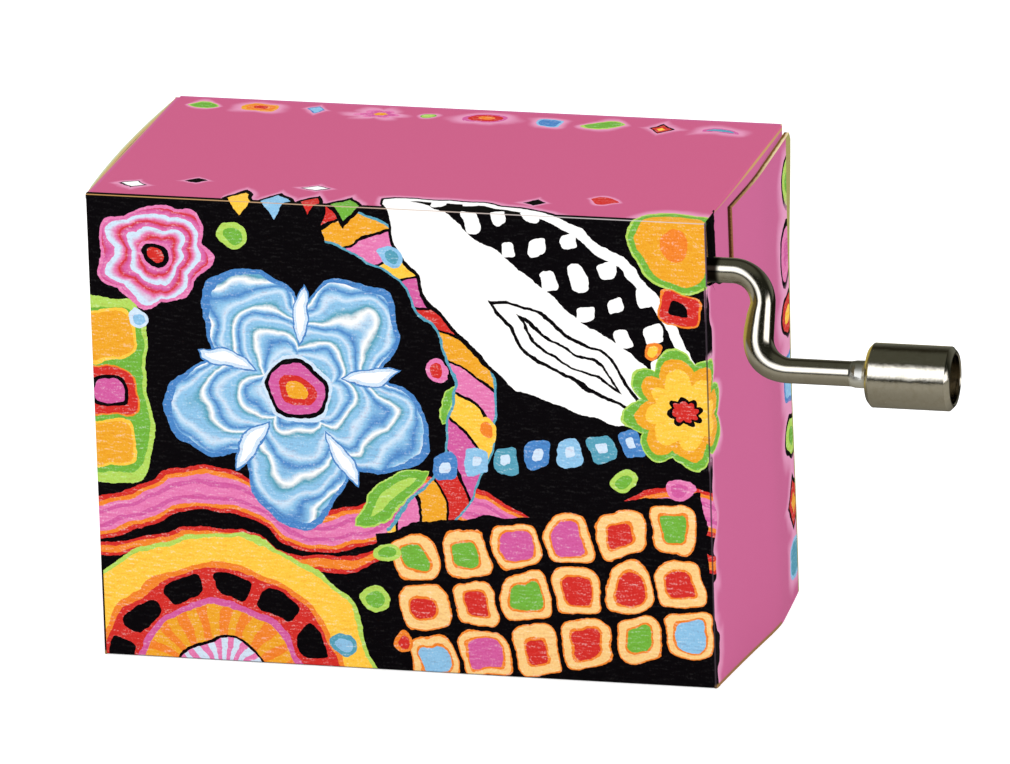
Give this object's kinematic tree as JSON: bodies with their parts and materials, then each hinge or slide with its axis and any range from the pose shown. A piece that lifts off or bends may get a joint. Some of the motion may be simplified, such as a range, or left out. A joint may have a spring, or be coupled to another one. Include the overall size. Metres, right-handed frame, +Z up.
{
  "type": "music box",
  "caption": "Small folded-board music box with a cranked rod and spinning metal knob on its right end, and a worm-driven pinned cylinder and comb inside.",
  "frame": {"origin": "under the middle of the carton, on the surface it stands on", "axes": "+X towards the crank end, -Y towards the printed front, +Z up"},
  "size_m": [0.0845, 0.0352, 0.046],
  "materials": {
    "printed_board": "satin print",
    "plain_board": "raw grey-tan board",
    "sounding_wood": "raw",
    "die_cast_zinc": "as cast, satin",
    "bracket_steel": "zinc plated",
    "bush_brass": "turned",
    "comb_steel": "ground",
    "lead": "dull",
    "damper_plastic": "matt",
    "screw_steel": "bright",
    "nickel_plate": "bright nickel plate",
    "worm_brass": "turned",
    "wheel_plastic": "moulded"
  },
  "bodies": {
    "box": {"front_panel": "printed_board", "top_panel": "printed_board", "back_panel": "printed_board", "bottom_panel": "printed_board", "glue_tab": "plain_board", "right_end_flap": "printed_board", "right_top_dust_flap": "printed_board", "right_bottom_dust_flap": "printed_board", "left_end_flap": "printed_board", "left_top_dust_flap": "printed_board", "left_bottom_dust_flap": "printed_board", "sounding_board": "sounding_wood", "bedplate": "die_cast_zinc", "worm_bracket": "bracket_steel", "lower_cylinder_bracket": "bracket_steel", "inner_crank_bush": "bush_brass", "outer_crank_bush": "bush_brass", "upper_arbor_bush": "bush_brass", "lower_arbor_bush": "bush_brass", "comb": "comb_steel", "comb_weights": "lead", "comb_dampers": "damper_plastic", "comb_screws": "screw_steel", "bracket_screws": "screw_steel", "mounting_screws": "screw_steel", "mounting_washers": "screw_steel"},
    "crank": {"crank_rod": "nickel_plate", "worm": "worm_brass", "worm_cross_pin": "screw_steel"},
    "knob": {"crank_knob": "nickel_plate"},
    "cylinder": {"cylinder_tube": "worm_brass", "cylinder_pins": "screw_steel", "upper_end_cap": "worm_brass", "lower_end_cap": "worm_brass", "cylinder_arbor": "screw_steel", "worm_wheel": "wheel_plastic"}
  },
  "joints": [
    {"name": "crank_turn", "type": "hinge", "parent": "box", "child": "crank", "pos_m": [0.03, -0.0113, 0.04], "axis": [1, 0, 0], "continuous": true},
    {"name": "knob_spin", "type": "hinge", "parent": "crank", "child": "knob", "pos_m": [0.0492, -0.01426, 0.0314], "axis": [1, 0, 0], "continuous": true},
    {"name": "cylinder_turn", "type": "hinge", "parent": "box", "child": "cylinder", "pos_m": [0.01, -0.0023, 0.0272], "axis": [0, 0, 1], "continuous": true}
  ],
  "couplings": [
    {"joint": "cylinder_turn", "follows": "crank_turn", "ratio": -0.035714}
  ]
}
